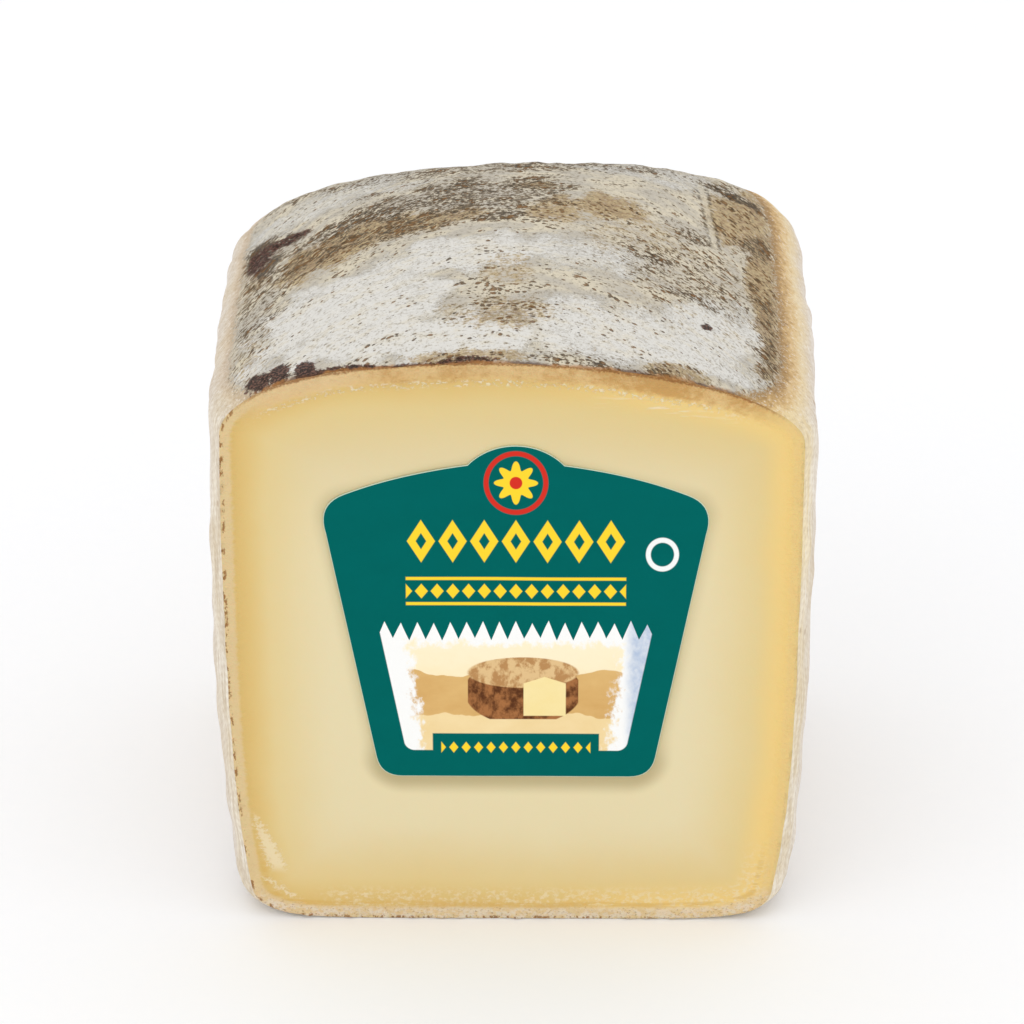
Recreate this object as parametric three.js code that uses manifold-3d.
// A piece of mountain tomme, in millimetres, +Z up, resting on its flat base.
// The whole cheese is a tall drum with a rounded-square plan, a slightly vaulted top and a soft rim.
// One upright cut has taken a slice off its front, and a paper label is stuck on that cut face.
// The origin is the middle of the underside's bounding box; the cut faces -Y.
import * as THREE from "three";
import { mergeVertices } from "three/addons/utils/BufferGeometryUtils.js";
import Module from "manifold-3d";

// Plan of the whole cheese: a rounded square, |x/r|^p + |y/r|^p = 1.
const HALF_WIDTH = 62.7;
const PLAN_POWER = 7;

// Upright profile of the side.
const RIM_HEIGHT = 131;
const TOP_FILLET = 14;
const BASE_FILLET = 7;
const BELLY_HEIGHT = 112;
const UPPER_TAPER = 2.1e-5;
const LOWER_TAPER = 3.8e-10;

// Top face: a crown in the middle, a vault that drops towards the two sides, and a slight twist.
const CROWN_RISE = 4;
const VAULT_DROP = 9.8;
const TOP_LEAN = 0.25;
const TOP_TWIST = 2.6;
const VAULT_DEPTH = 41;

// Slow hand-made unevenness of the side.
const LUMP = 0.5;

// The cut, measured from the middle of the whole cheese.
const CUT_DISTANCE = 53.8;

// Paper label on the cut face: heights are above the base, half widths from its own middle line.
const LABEL_THICKNESS = 0.3;
const LABEL_GAP = 0.3;
const LABEL_SIDESTEP = 0.7;
const LABEL_BOTTOM = 35;
const LABEL_BOTTOM_HALF = 28.4;
const LABEL_WIDEST = 96.6;
const LABEL_WIDEST_HALF = 40;
const LABEL_SHOULDER = 107.5;
const LABEL_SHOULDER_HALF = 9.9;
const LABEL_CREST = 111.9;
const LABEL_CORNER = 4.6;

// Fineness of the solid.
const AROUND = 80;
const SIDE_STEPS = 13;
const FILLET_STEPS = 5;
const CROWN_STEPS = 9;

// How much of the full width the side has at a height: widest at the belly, drawn in above it with the
// square of the distance, and below it with the fourth power, so most of that comes near the base.
function bellyShare(height) {
  const away = height - BELLY_HEIGHT;
  return 1 - (away > 0 ? UPPER_TAPER * away ** 2 : LOWER_TAPER * away ** 4);
}

// Half of the upright section, from the middle of the base round to the middle of the top.
function sectionProfile() {
  const points = [new THREE.Vector2(0, 0), new THREE.Vector2(HALF_WIDTH * 0.5, 0)];
  for (let i = 0; i <= FILLET_STEPS; i++) {
    const turn = (i / FILLET_STEPS) * (Math.PI / 2);
    const height = BASE_FILLET * (1 - Math.cos(turn));
    const inset = BASE_FILLET * (1 - Math.sin(turn));
    points.push(new THREE.Vector2(HALF_WIDTH * bellyShare(height) - inset, height));
  }
  for (let i = 1; i < SIDE_STEPS; i++) {
    const height = THREE.MathUtils.lerp(BASE_FILLET, RIM_HEIGHT - TOP_FILLET, i / SIDE_STEPS);
    points.push(new THREE.Vector2(HALF_WIDTH * bellyShare(height), height));
  }
  for (let i = 0; i <= FILLET_STEPS; i++) {
    const turn = (i / FILLET_STEPS) * (Math.PI / 2);
    const height = RIM_HEIGHT - TOP_FILLET * (1 - Math.sin(turn));
    const inset = TOP_FILLET * (1 - Math.cos(turn));
    points.push(new THREE.Vector2(HALF_WIDTH * bellyShare(height) - inset, height));
  }
  const rimRadius = points[points.length - 1].x;
  for (let i = 1; i <= CROWN_STEPS; i++) {
    const inward = 1 - i / CROWN_STEPS;
    points.push(new THREE.Vector2(rimRadius * inward, RIM_HEIGHT + CROWN_RISE * (1 - inward ** 2)));
  }
  return points;
}

// Turns a point of the round lathe form into the same point of the cheese.
function shapePoint(point) {
  const angle = Math.atan2(point.y, point.x);
  const radius = Math.hypot(point.x, point.y);
  const square = Math.abs(Math.cos(angle)) ** PLAN_POWER + Math.abs(Math.sin(angle)) ** PLAN_POWER;
  const lump = LUMP * Math.sin(3 * angle + point.z / 19) * Math.sin((Math.PI * point.z) / RIM_HEIGHT);
  const reach = radius * square ** (-1 / PLAN_POWER) + (lump * radius) / HALF_WIDTH;
  point.x = reach * Math.cos(angle);
  point.y = reach * Math.sin(angle);

  const share = THREE.MathUtils.clamp((point.z - (RIM_HEIGHT - VAULT_DEPTH)) / VAULT_DEPTH, 0, 1);
  const across = point.x / HALF_WIDTH;
  const lean = (TOP_LEAN + (TOP_TWIST * point.y) / HALF_WIDTH) * across;
  point.z += share * share * (lean - VAULT_DROP * across * across);
  return point;
}

function wholeCheese() {
  const form = new THREE.LatheGeometry(sectionProfile(), AROUND);
  form.rotateX(Math.PI / 2);
  form.deleteAttribute("normal");
  form.deleteAttribute("uv");
  const merged = mergeVertices(form, 1e-3);
  const place = merged.getAttribute("position");
  const point = new THREE.Vector3();
  for (let i = 0; i < place.count; i++) {
    shapePoint(point.fromBufferAttribute(place, i));
    place.setXYZ(i, point.x, point.y, point.z);
  }
  return merged;
}

// Joins and cuts: three.js geometry to a solid and back.
const wasm = await Module();
wasm.setup();

function toSolid(geometry) {
  const bare = geometry.clone();
  bare.deleteAttribute("normal");
  bare.deleteAttribute("uv");
  const merged = mergeVertices(bare, 1e-3);
  return new wasm.Manifold(new wasm.Mesh({
    numProp: 3,
    vertProperties: new Float32Array(merged.getAttribute("position").array),
    triVerts: new Uint32Array(merged.index.array),
  }));
}

function toGeometry(solid) {
  const mesh = solid.getMesh();
  const geometry = new THREE.BufferGeometry();
  geometry.setAttribute("position", new THREE.BufferAttribute(mesh.vertProperties, 3));
  geometry.setIndex(new THREE.BufferAttribute(mesh.triVerts, 1));
  geometry.computeVertexNormals();
  return geometry;
}

// The slice in front of the cut, as a block larger than the cheese.
function slicedOff() {
  const size = 4 * HALF_WIDTH;
  return new THREE.BoxGeometry(size, size, size).translate(0, -CUT_DISTANCE - size / 2, RIM_HEIGHT / 2);
}

// Label outline, drawn anticlockwise from the bottom: tapering sides, round corners, bowed shoulders
// and a low round crest over the middle.
function labelOutline() {
  const taper = (LABEL_WIDEST_HALF - LABEL_BOTTOM_HALF) / (LABEL_WIDEST - LABEL_BOTTOM);
  const outline = new THREE.Shape();
  outline.moveTo(-(LABEL_BOTTOM_HALF - LABEL_CORNER), LABEL_BOTTOM);
  outline.lineTo(LABEL_BOTTOM_HALF - LABEL_CORNER, LABEL_BOTTOM);
  outline.quadraticCurveTo(
    LABEL_BOTTOM_HALF, LABEL_BOTTOM,
    LABEL_BOTTOM_HALF + taper * LABEL_CORNER, LABEL_BOTTOM + LABEL_CORNER,
  );
  outline.lineTo(LABEL_WIDEST_HALF - taper * LABEL_CORNER, LABEL_WIDEST - LABEL_CORNER);
  const cornerTop = LABEL_WIDEST + 0.9 * LABEL_CORNER;
  outline.quadraticCurveTo(
    LABEL_WIDEST_HALF + 0.2 * LABEL_CORNER, LABEL_WIDEST + 0.4 * LABEL_CORNER,
    LABEL_WIDEST_HALF - LABEL_CORNER, cornerTop,
  );
  const bow = (LABEL_SHOULDER + cornerTop) / 2 + 1.4;
  outline.quadraticCurveTo(LABEL_WIDEST_HALF * 0.6, bow, LABEL_SHOULDER_HALF, LABEL_SHOULDER);

  const rise = LABEL_CREST - LABEL_SHOULDER;
  const crestRadius = (LABEL_SHOULDER_HALF ** 2 + rise ** 2) / (2 * rise);
  const halfAngle = Math.asin(LABEL_SHOULDER_HALF / crestRadius);
  const crestStart = Math.PI / 2 - halfAngle;
  outline.absarc(0, LABEL_CREST - crestRadius, crestRadius, crestStart, Math.PI - crestStart, false);

  outline.quadraticCurveTo(-LABEL_WIDEST_HALF * 0.6, bow, -(LABEL_WIDEST_HALF - LABEL_CORNER), cornerTop);
  outline.quadraticCurveTo(
    -(LABEL_WIDEST_HALF + 0.2 * LABEL_CORNER), LABEL_WIDEST + 0.4 * LABEL_CORNER,
    -(LABEL_WIDEST_HALF - taper * LABEL_CORNER), LABEL_WIDEST - LABEL_CORNER,
  );
  outline.lineTo(-(LABEL_BOTTOM_HALF + taper * LABEL_CORNER), LABEL_BOTTOM + LABEL_CORNER);
  outline.quadraticCurveTo(
    -LABEL_BOTTOM_HALF, LABEL_BOTTOM,
    -(LABEL_BOTTOM_HALF - LABEL_CORNER), LABEL_BOTTOM,
  );
  return outline;
}

// One piece of cheese: rind and paste are a single body with a flat base and a flat cut.
function cheesePiece() {
  const piece = toSolid(wholeCheese()).subtract(toSolid(slicedOff()));
  const material = new THREE.MeshStandardMaterial({ color: 0xe2d2a2, roughness: 0.7, metalness: 0 });
  const mesh = new THREE.Mesh(toGeometry(piece), material);
  mesh.name = "cheese_piece";
  return mesh;
}

// The label stands a hair in front of the cut face, its printed side facing -Y.
function paperLabel() {
  const sheet = new THREE.ExtrudeGeometry(labelOutline(), {
    depth: LABEL_THICKNESS,
    bevelEnabled: false,
    curveSegments: 8,
  });
  sheet.rotateX(Math.PI / 2);
  const material = new THREE.MeshStandardMaterial({ color: 0x006860, roughness: 0.5, metalness: 0 });
  const mesh = new THREE.Mesh(sheet, material);
  mesh.name = "paper_label";
  mesh.position.set(LABEL_SIDESTEP, -CUT_DISTANCE - LABEL_GAP, 0);
  return mesh;
}

// Both pieces move together so that the middle of their shared bounding box is over the origin.
const pieces = new THREE.Group();
pieces.add(cheesePiece(), paperLabel());
const middle = new THREE.Box3().setFromObject(pieces, true).getCenter(new THREE.Vector3());
pieces.position.set(-middle.x, -middle.y, 0);

const cheese = new THREE.Group();
cheese.add(pieces);

export default cheese;
